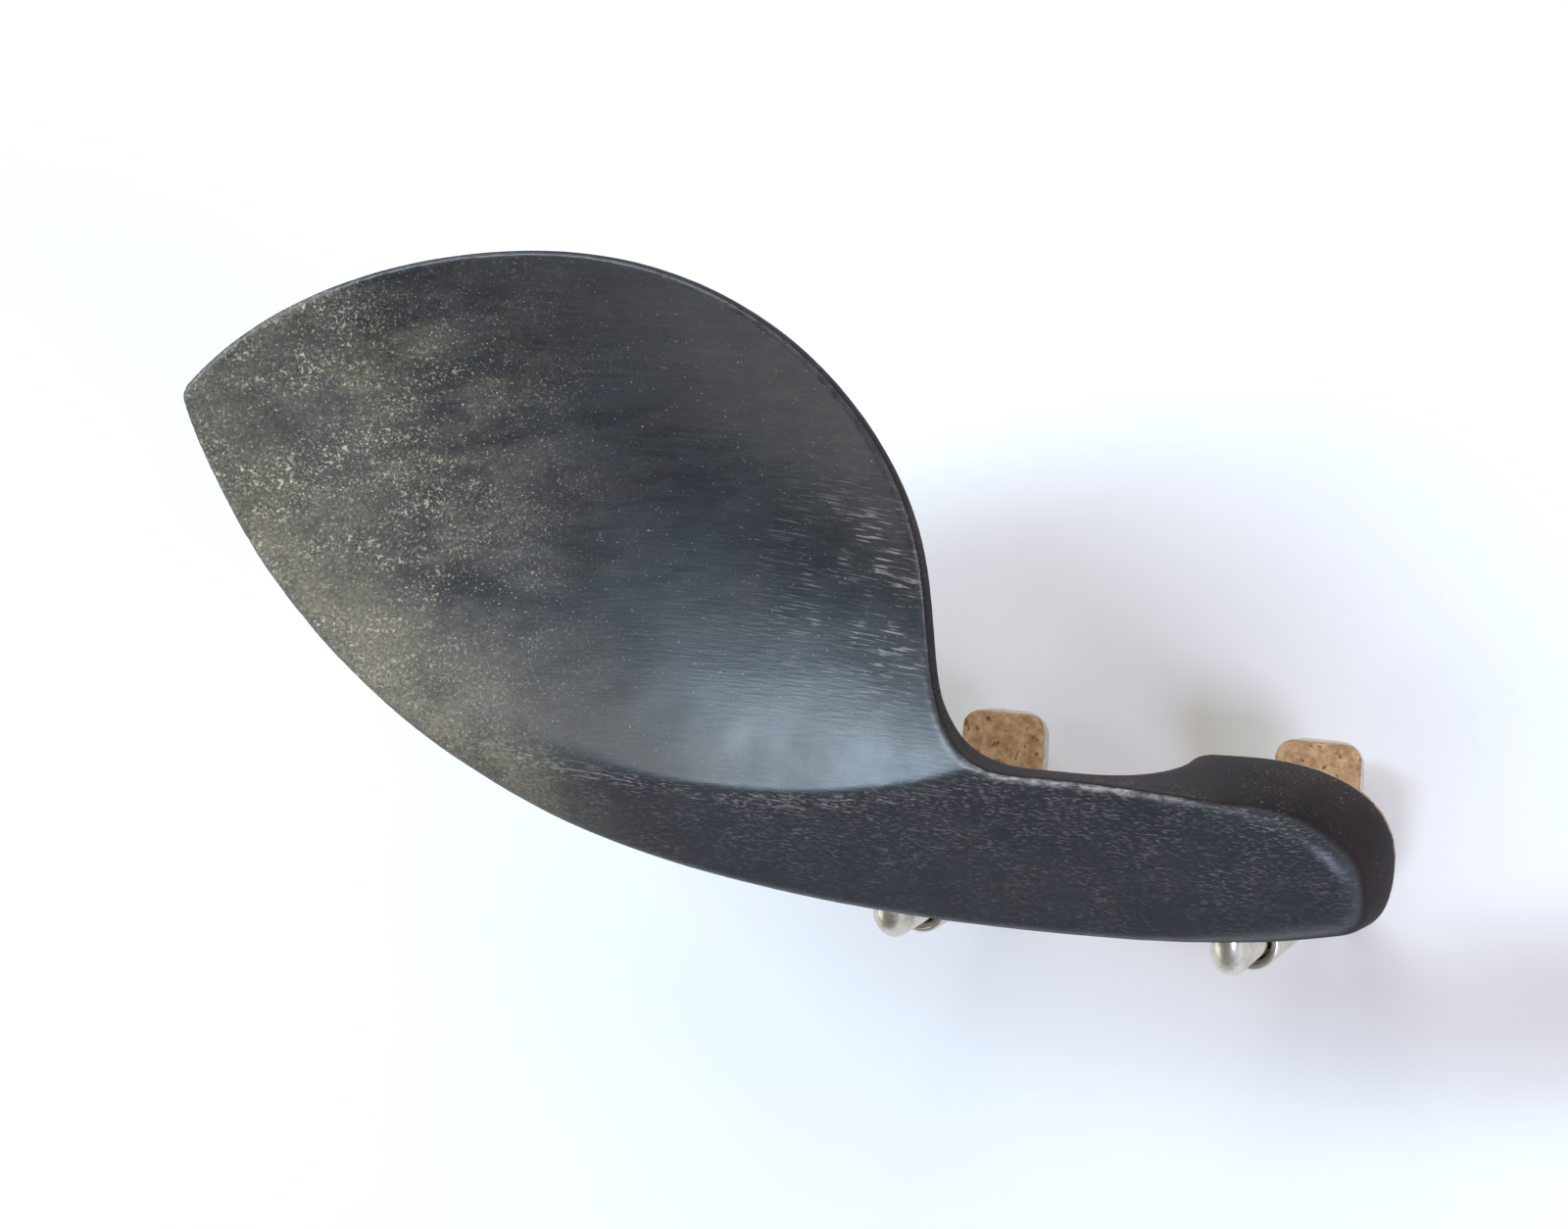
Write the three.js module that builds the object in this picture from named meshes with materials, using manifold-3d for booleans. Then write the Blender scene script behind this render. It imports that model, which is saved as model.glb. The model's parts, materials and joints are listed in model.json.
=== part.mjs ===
// A violin chin rest: a carved ebony plate on two cork-lined feet, held by two turnbuckle clamps.
// Millimetres. X runs along the clamped edge towards the treble side, Y from that edge towards the scroll,
// Z out of the violin's top. Plan measures run from the point midway between the clamps, on the edge line. The
// finished part's origin is the middle of the right foot's cork, in the plane that both feet rest on.
import * as THREE from 'three';
import { mergeVertices } from 'three/addons/utils/BufferGeometryUtils.js';
import Module from 'manifold-3d';

const wasm = await Module();
wasm.setup();

// Driving dimensions
const EDGE_STACK = 38.5; // violin thickness between the upper and the lower cork
const CLAMP_X = 19.1; // half the distance between the two clamps
const POST_Y = -2.2; // clamp axis, just outside the edge line
const REST_POINT = { x: 29, y: 11 }; // middle of the right foot's cork
const CORK = 1.5; // thickness of every cork pad
const FIT = 0.3; // free gap round a piece that sits in another
const SEAT = 0.1; // gap under a piece that is screwed home

// Carved plate
const BLANK_TOP = 32; // height of the blank that the plate is carved from
const RIM = 3; // thickness of the dish at its rim
const BELLY = 2.6; // extra thickness at the middle of the dish
const DISH_X = -50; // centre of the dish
const DISH_Y = 40;
const DISH_TURN = THREE.MathUtils.degToRad(-25); // the long axis of the dish, from +X
const DISH_LOW = 14.6; // height of the dish surface at its centre
const DISH_HALF = { u: 48, v: 29 }; // half length and half width
const DISH_TILT = { u: -0.088, v: -0.092 };
const DISH_BOWL = { u: 0.0041, v: 0.0109 };
const FACE_EDGE = 9.2; // height of the sloping outer face above the edge line
const FACE_SLOPE = 0.66;
const FACE_ROUND = 0.004; // how much the face curves over towards its ridge
const FACE_FALL = -0.052; // fall of the face towards the treble side
const FOOT_LEAN = 3.2; // how far the wall of the right foot leans in by the ridge
const LEAN_POWER = 1.6; // it stands upright at the cork and leans more towards the ridge
const RIDGE = 17; // height of the ridge over the right foot

// Feet and arch
const LEFT_FOOT = { x0: -38, x1: -13.5, y1: 21, r: 6 };
const HAUNCH = 8; // how far the left foot reaches over the arch
const ARCH_HALF = 13.5;
const ARCH_LOW = 5; // height of the arch above the edge line
const ARCH_RISE = 0.4; // rise of the arch towards the tailpiece
const ARCH_R = 9;
const ARCH_END = 22; // the arch opens into the hollow under the dish here

// Clamps
const ROD_R = 1.85;
const ROD_SEGMENTS = 9; // per half turn
const ROD_STEPS = 20;
const BEND_R = 3; // centre line radius of each elbow
const TANG = { w: 7.2, y0: 2.6, y1: 16, t: 1.6 };
const SOLE = { w: 10, y0: 2.6, y1: 15.6, t: 2 };
const BARREL = { r: 3.2, top: -9, length: 22, chamfer: 0.7 };
const THREAD_IN = 8; // length of each rod inside its barrel
const KEY_HOLE_R = 1.1;
const KEY_HOLE_DZ = 3.5; // height of each key hole above or below the middle of the barrel
const SCREW = { headR: 2.2, head: 1.3, r: 1.1, length: 8, slot: 0.6 };
const SCREW_Y = [7.4, 12.8];

const ebony = () => new THREE.MeshStandardMaterial({ color: 0x23272c, roughness: 0.5, metalness: 0 });
const cork = () => new THREE.MeshStandardMaterial({ color: 0xb98a58, roughness: 0.95, metalness: 0 });
const nickel = () => new THREE.MeshStandardMaterial({ color: 0xbdb7a4, roughness: 0.3, metalness: 1 });

// Solids

function toSolid(geometry) {
  const bare = geometry.clone();
  bare.deleteAttribute('normal');
  bare.deleteAttribute('uv');
  const merged = mergeVertices(bare, 1e-5);
  const vertProperties = new Float32Array(merged.attributes.position.array);
  const triVerts = new Uint32Array(merged.index.array);
  return new wasm.Manifold(new wasm.Mesh({ numProp: 3, vertProperties, triVerts }));
}

function toGeometry(solid) {
  const mesh = solid.getMesh();
  const geometry = new THREE.BufferGeometry();
  geometry.setAttribute('position', new THREE.BufferAttribute(new Float32Array(mesh.vertProperties), 3));
  geometry.setIndex(new THREE.BufferAttribute(new Uint32Array(mesh.triVerts), 1));
  geometry.computeVertexNormals();
  return geometry;
}

function box(x0, x1, y0, y1, z0, z1) {
  const geometry = new THREE.BoxGeometry(x1 - x0, y1 - y0, z1 - z0);
  return geometry.translate((x0 + x1) / 2, (y0 + y1) / 2, (z0 + z1) / 2);
}

// A rectangle with rounded corners, extruded upwards.
function slab(x0, x1, y0, y1, z0, z1, r) {
  const shape = new THREE.Shape();
  shape.moveTo(x0 + r, y0);
  shape.lineTo(x1 - r, y0);
  shape.absarc(x1 - r, y0 + r, r, -Math.PI / 2, 0);
  shape.absarc(x1 - r, y1 - r, r, 0, Math.PI / 2);
  shape.absarc(x0 + r, y1 - r, r, Math.PI / 2, Math.PI);
  shape.absarc(x0 + r, y0 + r, r, Math.PI, Math.PI * 1.5);
  const geometry = new THREE.ExtrudeGeometry(shape, { depth: z1 - z0, bevelEnabled: false, curveSegments: 3 });
  return geometry.translate(0, 0, z0);
}

// An upright cylinder.
function post(x, y, z0, z1, r, segments = 28) {
  const geometry = new THREE.CylinderGeometry(r, r, z1 - z0, segments);
  geometry.rotateX(Math.PI / 2);
  return geometry.translate(x, y, (z0 + z1) / 2);
}

// A block over a rectangle whose top follows a height function.
function landscape(x0, x1, y0, y1, bottom, step, height) {
  const nx = Math.round((x1 - x0) / step);
  const ny = Math.round((y1 - y0) / step);
  const geometry = new THREE.BoxGeometry(x1 - x0, y1 - y0, 1, nx, ny, 1);
  geometry.translate((x0 + x1) / 2, (y0 + y1) / 2, 0);
  const p = geometry.attributes.position;
  for (let i = 0; i < p.count; i += 1) {
    p.setZ(i, p.getZ(i) > 0 ? height(p.getX(i), p.getY(i)) : bottom);
  }
  return geometry;
}

// Carved plate

// The plan of the plate, drawn as one run of curves from the tip of the dish and back to it.
function plateOutline() {
  const plan = new THREE.Shape();
  plan.moveTo(-93.2, 54.8);
  plan.bezierCurveTo(-84.5, 66, -67, 70.8, -52.6, 70.8); // far rim of the dish
  plan.bezierCurveTo(-30, 70.8, -15.2, 56.5, -12.3, 39.5); // rim beside the tailpiece
  plan.bezierCurveTo(-10.7, 30, -11.6, 19.2, 0, 19.1); // hollow between dish and arm
  plan.bezierCurveTo(8, 19, 13.4, 20.4, 21.4, 20.4); // arm over the tailpiece
  plan.bezierCurveTo(30.6, 20.4, 36.6, 16.8, 36.6, 10.4); // round end of the right foot
  plan.bezierCurveTo(36.6, 6.8, 35.9, 4, 33.2, 3.2);
  plan.bezierCurveTo(25, 1.7, 12, 0.9, 0, 0.9); // outer edge over the clamps
  plan.bezierCurveTo(-18, 0.9, -38.3, 2.9, -51.8, 9); // outer edge past the left foot
  plan.bezierCurveTo(-65.3, 15.2, -87.9, 34, -93.7, 52.4); // outer edge up to the tip
  plan.quadraticCurveTo(-94.1, 53.8, -93.2, 54.8);
  return plan;
}

// Plan coordinates measured from the centre of the dish, along and across its long axis.
function acrossDish(x, y) {
  const dx = x - DISH_X;
  const dy = y - DISH_Y;
  const u = dx * Math.cos(DISH_TURN) + dy * Math.sin(DISH_TURN);
  const v = dy * Math.cos(DISH_TURN) - dx * Math.sin(DISH_TURN);
  return { u, v };
}

function dishHeight(x, y) {
  const { u, v } = acrossDish(x, y);
  return DISH_LOW + DISH_TILT.u * u + DISH_TILT.v * v + DISH_BOWL.u * u * u + DISH_BOWL.v * v * v;
}

function outerFaceHeight(x, y) {
  return FACE_EDGE + FACE_SLOPE * y - FACE_ROUND * y * y + FACE_FALL * x;
}

function undersideHeight(x, y) {
  const { u, v } = acrossDish(x, y);
  const middle = Math.max(0, 1 - (u / DISH_HALF.u) ** 2 - (v / DISH_HALF.v) ** 2);
  return Math.min(dishHeight(x, y), outerFaceHeight(x, y)) - RIM - BELLY * middle;
}

// The outline as an upright prism whose wall leans in towards the ridge around the right foot.
function blank() {
  const depth = BLANK_TOP - CORK;
  const geometry = new THREE.ExtrudeGeometry(plateOutline(), {
    depth,
    steps: 8,
    bevelEnabled: false,
    curveSegments: 11,
  });
  geometry.translate(0, 0, CORK);
  const p = geometry.attributes.position;
  const { smoothstep } = THREE.MathUtils;
  for (let i = 0; i < p.count; i += 1) {
    const x = p.getX(i);
    const y = p.getY(i);
    const rise = THREE.MathUtils.clamp((p.getZ(i) - CORK) / (RIDGE - CORK), 0, 1);
    const lean = FOOT_LEAN * rise ** LEAN_POWER;
    p.setX(i, x - lean * smoothstep(x, 26, 37));
    p.setY(i, y - lean * smoothstep(x, 8, 28) * smoothstep(y, 6, 18));
  }
  return toSolid(geometry);
}

// The space under the dish, all round the left foot.
function hollowUnderDish() {
  const hollow = toSolid(landscape(-100, -7, -5, 80, -5, 3, undersideHeight));
  const { x0, x1, y1, r } = LEFT_FOOT;
  const foot = toSolid(slab(x0, x1 + HAUNCH, -12, y1, -6, BLANK_TOP, r));
  return hollow.subtract(foot);
}

// The opening over the tailpiece end, rising towards the tailpiece.
function archOpening() {
  const profile = new THREE.Shape();
  profile.moveTo(-ARCH_HALF, -20);
  profile.lineTo(ARCH_HALF, -20);
  profile.lineTo(ARCH_HALF, ARCH_LOW - ARCH_R);
  profile.absarc(ARCH_HALF - ARCH_R, ARCH_LOW - ARCH_R, ARCH_R, 0, Math.PI / 2);
  profile.lineTo(ARCH_R - ARCH_HALF, ARCH_LOW);
  profile.absarc(ARCH_R - ARCH_HALF, ARCH_LOW - ARCH_R, ARCH_R, Math.PI / 2, Math.PI);
  const geometry = new THREE.ExtrudeGeometry(profile, { depth: 45, bevelEnabled: false, curveSegments: 4 });
  geometry.rotateX(Math.PI / 2);
  geometry.translate(0, ARCH_END, 0);
  const shear = new THREE.Matrix4().makeShear(0, 0, 0, ARCH_RISE, 0, 0);
  return toSolid(geometry.applyMatrix4(shear));
}

// The seat of one bracket in the underside of a foot, with its rod slot and screw holes.
function bracketSeat(x) {
  const half = TANG.w / 2 + FIT;
  const top = CORK + TANG.t + SEAT;
  const rodHalf = ROD_R + FIT;
  const rodTop = CORK + TANG.t / 2 + ROD_R + FIT;
  let seat = toSolid(box(x - half, x + half, TANG.y0 - FIT, TANG.y1 + FIT, -1, top));
  seat = seat.add(toSolid(box(x - rodHalf, x + rodHalf, -6, TANG.y0 + BEND_R, -1, rodTop)));
  for (const y of SCREW_Y) {
    seat = seat.add(toSolid(post(x, y, CORK, CORK + SCREW.length + 2 * FIT, SCREW.r + FIT / 2)));
  }
  return seat;
}

function chinPlate() {
  let plate = blank();
  plate = plate.intersect(toSolid(landscape(-100, 45, -10, 80, 0, 2.9, dishHeight)));
  plate = plate.intersect(toSolid(landscape(-100, 45, -10, 80, 0, 5, outerFaceHeight)));
  plate = plate.subtract(hollowUnderDish()).subtract(archOpening());
  for (const side of [-1, 1]) plate = plate.subtract(bracketSeat(side * CLAMP_X));
  return plate;
}

// Cork under a foot: the foot's own plan, with a slot round the bracket.
function upperCork(side) {
  const x = side * CLAMP_X;
  const half = TANG.w / 2 + 2 * FIT;
  const plan = new THREE.ExtrudeGeometry(plateOutline(), { depth: CORK, bevelEnabled: false, curveSegments: 11 });
  const { x0, x1, y1, r } = LEFT_FOOT;
  const zone = side < 0 ? slab(x0, x1, -12, y1, -1, CORK + 1, r) : box(ARCH_HALF, 60, -12, 40, -1, CORK + 1);
  let pad = toSolid(plan).intersect(toSolid(zone));
  pad = pad.subtract(toSolid(box(x - half, x + half, -12, TANG.y1 + 2 * FIT, -1, CORK + 1)));
  return pad;
}

// Clamps

// Round rod swept along a level run, an elbow and an upright run. `down` is -1 or 1 along Z.
function bentRod(yIn, zLevel, zEnd, down) {
  const levelEnd = new THREE.Vector3(0, POST_Y + BEND_R, zLevel);
  const uprightStart = new THREE.Vector3(0, POST_Y, zLevel + down * BEND_R);
  const pull = 0.5523 * BEND_R; // handle length that makes a cubic curve a quarter circle
  const path = new THREE.CurvePath();
  path.add(new THREE.LineCurve3(new THREE.Vector3(0, yIn, zLevel), levelEnd));
  path.add(
    new THREE.CubicBezierCurve3(
      levelEnd,
      new THREE.Vector3(0, levelEnd.y - pull, zLevel),
      new THREE.Vector3(0, POST_Y, uprightStart.z - down * pull),
      uprightStart,
    ),
  );
  path.add(new THREE.LineCurve3(uprightStart, new THREE.Vector3(0, POST_Y, zEnd)));
  const section = new THREE.Shape();
  section.absarc(0, 0, ROD_R, 0, Math.PI * 2);
  return toSolid(
    new THREE.ExtrudeGeometry(section, {
      steps: ROD_STEPS,
      extrudePath: path,
      bevelEnabled: false,
      curveSegments: ROD_SEGMENTS,
    }),
  );
}

function countersink(y) {
  const sink = new THREE.LatheGeometry(
    [
      [0, -1],
      [SCREW.headR + FIT, -1],
      [SCREW.headR + FIT, 0],
      [SCREW.r + FIT, SCREW.head],
      [SCREW.r + FIT, TANG.t + 1],
      [0, TANG.t + 1],
    ].map(([r, z]) => new THREE.Vector2(r, z)),
    28,
  );
  sink.rotateX(Math.PI / 2);
  return toSolid(sink.translate(0, y, CORK));
}

function upperBracket() {
  const { w, y0, y1, t } = TANG;
  const rodEnd = BARREL.top - THREAD_IN;
  let bracket = bentRod(y0 + BEND_R - FIT, CORK + t / 2, rodEnd, -1);
  bracket = bracket.add(toSolid(slab(-w / 2, w / 2, y0, y1, CORK, CORK + t, 2)));
  for (const y of SCREW_Y) bracket = bracket.subtract(countersink(y));
  return bracket;
}

function lowerHook() {
  const { w, y0, y1, t } = SOLE;
  const soleTop = -EDGE_STACK - CORK;
  const rodEnd = BARREL.top - BARREL.length + THREAD_IN;
  const hook = bentRod(y0 + BEND_R - 2 * FIT, soleTop - t / 2, rodEnd, 1);
  return hook.add(toSolid(slab(-w / 2, w / 2, y0, y1, soleTop - t, soleTop, 2.5)));
}

function lowerCork() {
  const { w, y0, y1 } = SOLE;
  return toSolid(slab(-w / 2, w / 2, y0 + BEND_R, y1, -EDGE_STACK - CORK, -EDGE_STACK, 2));
}

function barrel() {
  const { r, top, length, chamfer } = BARREL;
  const bore = ROD_R + FIT;
  const profile = [
    [bore, 0],
    [r - chamfer, 0],
    [r, chamfer],
    [r, length - chamfer],
    [r - chamfer, length],
    [bore, length],
    [bore, 0],
  ].map(([radius, z]) => new THREE.Vector2(radius, z));
  const tube = new THREE.LatheGeometry(profile, 36);
  tube.rotateX(Math.PI / 2);
  tube.translate(0, POST_Y, top - length);
  let solid = toSolid(tube);
  const middle = top - length / 2;
  const drill = new THREE.CylinderGeometry(KEY_HOLE_R, KEY_HOLE_R, 4 * r, 18);
  solid = solid.subtract(toSolid(drill.clone().translate(0, POST_Y, middle + KEY_HOLE_DZ)));
  drill.rotateZ(Math.PI / 2);
  return solid.subtract(toSolid(drill.translate(0, POST_Y, middle - KEY_HOLE_DZ)));
}

function woodScrew(y) {
  const { headR, head, r, length, slot } = SCREW;
  const profile = [
    [0, 0],
    [headR, 0],
    [r, head - SEAT],
    [r, length - 2],
    [0, length],
  ].map(([radius, z]) => new THREE.Vector2(radius, z));
  const body = new THREE.LatheGeometry(profile, 20);
  body.rotateX(Math.PI / 2);
  const cut = box(-headR * 2, headR * 2, -slot / 2, slot / 2, -1, slot);
  const solid = toSolid(body).subtract(toSolid(cut));
  return solid.translate([0, y, CORK]);
}

// Assembly

const chinRest = new THREE.Group();
chinRest.position.set(-REST_POINT.x, -REST_POINT.y, 0);

function place(parent, name, solid, material) {
  const mesh = new THREE.Mesh(toGeometry(solid), material);
  mesh.name = name;
  parent.add(mesh);
}

place(chinRest, 'chin_plate', chinPlate(), ebony());
for (const [side, label] of [[-1, 'left'], [1, 'right']]) {
  place(chinRest, `cork_pad_${label}`, upperCork(side), cork());
  const clamp = new THREE.Group();
  clamp.position.x = side * CLAMP_X;
  place(clamp, `upper_bracket_${label}`, upperBracket(), nickel());
  place(clamp, `wood_screw_${label}_outer`, woodScrew(SCREW_Y[0]), nickel());
  place(clamp, `wood_screw_${label}_inner`, woodScrew(SCREW_Y[1]), nickel());
  place(clamp, `barrel_${label}`, barrel(), nickel());
  place(clamp, `lower_hook_${label}`, lowerHook(), nickel());
  place(clamp, `lower_cork_${label}`, lowerCork(), cork());
  chinRest.add(clamp);
}

export default chinRest;
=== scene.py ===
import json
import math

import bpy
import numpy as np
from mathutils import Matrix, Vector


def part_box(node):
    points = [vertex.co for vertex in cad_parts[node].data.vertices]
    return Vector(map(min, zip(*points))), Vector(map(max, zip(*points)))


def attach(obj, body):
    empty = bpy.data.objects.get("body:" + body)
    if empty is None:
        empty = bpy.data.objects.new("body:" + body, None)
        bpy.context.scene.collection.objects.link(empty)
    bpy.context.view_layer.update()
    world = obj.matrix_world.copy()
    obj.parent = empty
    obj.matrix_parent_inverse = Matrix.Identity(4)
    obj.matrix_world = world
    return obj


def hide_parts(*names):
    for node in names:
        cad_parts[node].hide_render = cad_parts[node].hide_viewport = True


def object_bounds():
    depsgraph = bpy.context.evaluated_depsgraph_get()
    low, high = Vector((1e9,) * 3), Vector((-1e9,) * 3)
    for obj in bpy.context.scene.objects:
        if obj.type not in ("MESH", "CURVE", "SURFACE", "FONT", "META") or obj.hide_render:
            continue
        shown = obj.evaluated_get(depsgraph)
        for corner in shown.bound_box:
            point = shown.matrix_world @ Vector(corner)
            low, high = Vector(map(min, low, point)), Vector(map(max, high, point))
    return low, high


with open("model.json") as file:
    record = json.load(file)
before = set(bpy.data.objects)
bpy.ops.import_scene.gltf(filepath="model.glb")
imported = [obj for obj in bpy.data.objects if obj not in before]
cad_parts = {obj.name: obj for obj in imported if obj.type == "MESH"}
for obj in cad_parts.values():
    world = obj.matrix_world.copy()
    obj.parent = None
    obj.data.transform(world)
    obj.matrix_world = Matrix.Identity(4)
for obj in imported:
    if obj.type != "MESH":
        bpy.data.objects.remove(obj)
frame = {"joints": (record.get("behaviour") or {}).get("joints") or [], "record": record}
CAD_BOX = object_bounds()

# A violin chin rest in worn ebony, with two nickel-plated turnbuckle clamps.
#
# Shapes are distance fields in millimetres, negative inside the solid, in the plan frame. X runs along the
# clamped edge from the point midway between the clamps, Y from the violin's edge inwards, Z out of its top.
# Heights are the same in the frame. Each field becomes a fine mesh, which is set down in the frame in metres.

import openvdb
from mathutils import Matrix, Vector, noise

# ---------------------------------------------------------------- places taken from the frame, in millimetres

MM = 0.001


def corners_of(node):
    """The lowest and highest corners of a CAD node's box."""
    return (np.array(corner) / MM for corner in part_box(node))


MOUNTS = {mount["name"]: np.array(mount["pos_m"]) / MM for mount in frame["record"]["mounts"]}
GRIP_LEFT = MOUNTS["back_grip_left"]
GRIP_RIGHT = MOUNTS["back_grip_right"]
BARREL_LOW, BARREL_HIGH = corners_of("barrel_right")
HOOK_LOW, HOOK_HIGH = corners_of("lower_hook_right")
BRACKET_LOW, _ = corners_of("upper_bracket_right")

CLAMP_X = (GRIP_RIGHT[0] - GRIP_LEFT[0]) / 2
POST_Y = -2.2  # where the uprights stand, just outside the violin's edge
PLAN_ORIGIN = np.array(  # the plan frame's origin in the frame
    [(GRIP_LEFT[0] + GRIP_RIGHT[0]) / 2, (BARREL_LOW[1] + BARREL_HIGH[1]) / 2 - POST_Y, 0.0]
)
BACK_Z = GRIP_RIGHT[2]  # where the lower corks meet the violin's back
DROP = min(joint["range_m"][0] for joint in frame["joints"] if joint["type"] == "slide") / MM
LOWEST = CAD_BOX[0][2] / MM + DROP  # how far down the hooks reach

# ---------------------------------------------------------------- sizes, in millimetres

CORK = 1.5  # thickness of the sheet cork
ROD_R = 1.85
BEND_R = 3.0
ROD_END = 0.5  # rounding of a rod's end
THREAD = {"pitch": 0.7, "depth": 0.26, "run_in": 0.8, "sharp": 1.3}
THREAD_TOP = -1.6  # where a bracket's thread starts, below its elbow
HOOK_PLAIN = 1.2  # the plain length above a hook's elbow

# The flat ends of the clamps: the bracket's tang in the foot, and the sole that carries the hook's cork. Both
# are cut level on the cork's side, and the cut runs out over the length "trim" where the rod begins.
TANG = {"half": 3.6, "y0": 2.6, "y1": 16.0, "t": 1.6, "r": 2.6, "edge": 0.4, "weld": 1.2, "trim": 2.0}
SOLE = {"half": 5.0, "y0": 2.6, "y1": 15.6, "t": 2.0, "r": 3.0, "edge": 0.5, "weld": 0.9, "trim": 2.6}
SOLE_SHORT = 0.6  # the hook's rod runs this much less far into its flat end than the bracket's does
SCREW = {
    "y": (7.4, 12.8), "length": 7.2, "core_r": 0.75, "thread": 0.35, "pitch": 0.9,
    "head_r": 2.3, "head_t": 1.3, "dome_r": 5.2, "dome_h": 0.2, "slot_half": 0.28, "slot_depth": 0.5,
}
SINK = {"cone_r": 2.5, "cone_t": 1.1, "edge": 0.15}
BARREL = {
    "edge": 0.9, "line_in": 2.2, "line_r": 0.22, "bore_gap": 0.2,
    "key_r": 1.1, "key_z": 3.5, "key_edge": 0.35,
}
FIT = 0.3  # between the wood and the metal let into it
FIT_ABOVE = 0.1
SEAT_R = 1.0  # corner radius of the seat that a tang is let into
SLOT_FIT = 0.6  # between the cork and the metal it goes round
PAD_INSET = 0.3  # the cork stops just inside the foot's edge
ARCH_INSET = 3 * PAD_INSET  # and further inside at the arch, where the foot's edge is rounder
EDGE_EASE = 0.45  # makes up for what the rounding takes off the outer edge
CORK_EDGE = 0.3
HOOK_CORK_R = 2.0
CORK_GAP = 0.02  # between a cork and what it touches
FREE = 60.0  # more than any height, to lift a limit away from part of a shape
MARGIN = 0.5  # left free round a piece in the box it is meshed in

# Rounding of the plate's edges: at the rim, at the right foot, underneath, over the cork and round the arch.
EASE = {"rim": 0.7, "foot": 3.2, "under": 1.2, "cork": 0.3, "arch": 2.6}
JOIN = {"foot": 5, "arm": 3}  # how widely the underside runs into the left foot and the arm

# Mesh steps, fine enough for the smallest shape on each piece.
VOXEL = {
    "plate": 0.3, "quick_plate": 0.42, "pad": 0.2, "hook_cork": 0.15,
    "rods": 0.11, "barrel": 0.13, "screw": 0.09,
}

# The boxes that the plate's plan, the plate and the corks under its feet are worked out in.
SHEET = {"low": (-104.0, -10.0), "high": (47, 82), "step": 0.5}
PLATE_BOX = ((-97, -2, 0.6), (40, 74, 31))
PAD_BOX = {-1: ((-40, -1, -0.6), (-10, 23, 2.1)), 1: ((10, -1, -0.6), (39, 23, 2.1))}

# The dish's bowl, seen along its length u and across it v, and the outer face that slopes up to meet it.
DISH = {
    "x": -50.0, "y": 40.0, "turn": math.radians(-25), "low": 14.6,
    "tilt_u": -0.088, "tilt_v": -0.092, "bowl_u": 0.0041, "bowl_v": 0.0109,
    "half_u": 48.0, "half_v": 29.0, "rim": 3.0, "belly": 2.6,
}
FACE = {"edge": 9.2, "slope": 0.66, "round": 0.004, "fall": -0.052}

# How widely the dish and the face blend: sharply beside the arm, and more softly towards the tip.
CREASE = {"sharp": 0.9, "soft": 4.5, "from": 34, "to": 66, "under": 8}

# The right foot's wall leans in by this much at the ridge's height.
FOOT_LEAN = {"x": 3.2, "y": 2.7, "power": 1.6, "ridge": 17.0}
LEFT_FOOT = {"x0": -38.0, "x1": -5.5, "y0": -12.0, "y1": 21.0, "r": 6.0, "flare": 0.1}
ARM_START = -6.5  # where the arm leaves the dish
ARCH = {"half": 13.5, "low": 5.0, "rise": 0.4, "r": 9.0, "end": 22.0, "end_edge": 3}


# ---------------------------------------------------------------- distance field tools


def smooth_min(a, b, k):
    """The smaller of two fields, blended over a band k wide."""
    h = np.maximum(k - np.abs(a - b), 0) / k
    return np.minimum(a, b) - h * h * k / 4


def smooth_max(a, b, k):
    """The larger of two fields, blended over a band k wide."""
    return -smooth_min(-a, -b, k)


def smoothstep(x, low, high):
    """Rises from zero at low to one at high, and is level at both ends."""
    t = np.clip((x - low) / (high - low), 0, 1)
    return t * t * (3 - 2 * t)


def axes_of(low, high, voxel):
    """Three open axes that cover a box, ready to broadcast."""
    ax = [np.arange(lo, hi + voxel, voxel, dtype=np.float32) for lo, hi in zip(low, high)]
    return ax[0][:, None, None], ax[1][None, :, None], ax[2][None, None, :]


def round_box(x, y, x0, x1, y0, y1, r):
    """Distance to a rectangle with rounded corners in a plane."""
    qx = np.abs(x - (x0 + x1) / 2) - (x1 - x0) / 2 + r
    qy = np.abs(y - (y0 + y1) / 2) - (y1 - y0) / 2 + r
    outside = np.hypot(np.maximum(qx, 0), np.maximum(qy, 0))
    return outside + np.minimum(np.maximum(qx, qy), 0) - r


def slab(plan, z, z0, z1, edge):
    """A plan shape between two heights, with its edges rounded by about edge."""
    return smooth_max(plan, np.abs(z - (z0 + z1) / 2) - (z1 - z0) / 2, edge)


def mesh_from_field(name, low, high, voxel, field, smooth=2):
    """Meshes the zero surface of field(x, y, z) inside a box, and sets it down in the frame."""
    x, y, z = axes_of(low, high, voxel)
    band = 3 * voxel
    values = np.clip(field(x, y, z), -band, band).astype(np.float32)
    grid = openvdb.FloatGrid(band)
    grid.copyFromArray(np.ascontiguousarray(values))
    points, _, quads = grid.convertToPolygons(isovalue=0.0, adaptivity=0.0)
    start = np.array([x.flat[0], y.flat[0], z.flat[0]])
    verts = (points * voxel + start + PLAN_ORIGIN) * MM
    mesh = bpy.data.meshes.new(name)
    mesh.from_pydata(verts.tolist(), [], quads.tolist())
    mesh.validate()
    obj = bpy.data.objects.new(name, mesh)
    bpy.context.scene.collection.objects.link(obj)
    if smooth:
        relax(obj, smooth)
    mesh.shade_smooth()
    return obj


def vertex_places(mesh):
    """The vertices' places in metres, one to a row."""
    places = np.empty(len(mesh.vertices) * 3)
    mesh.vertices.foreach_get("co", places)
    return places.reshape(-1, 3)


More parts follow.
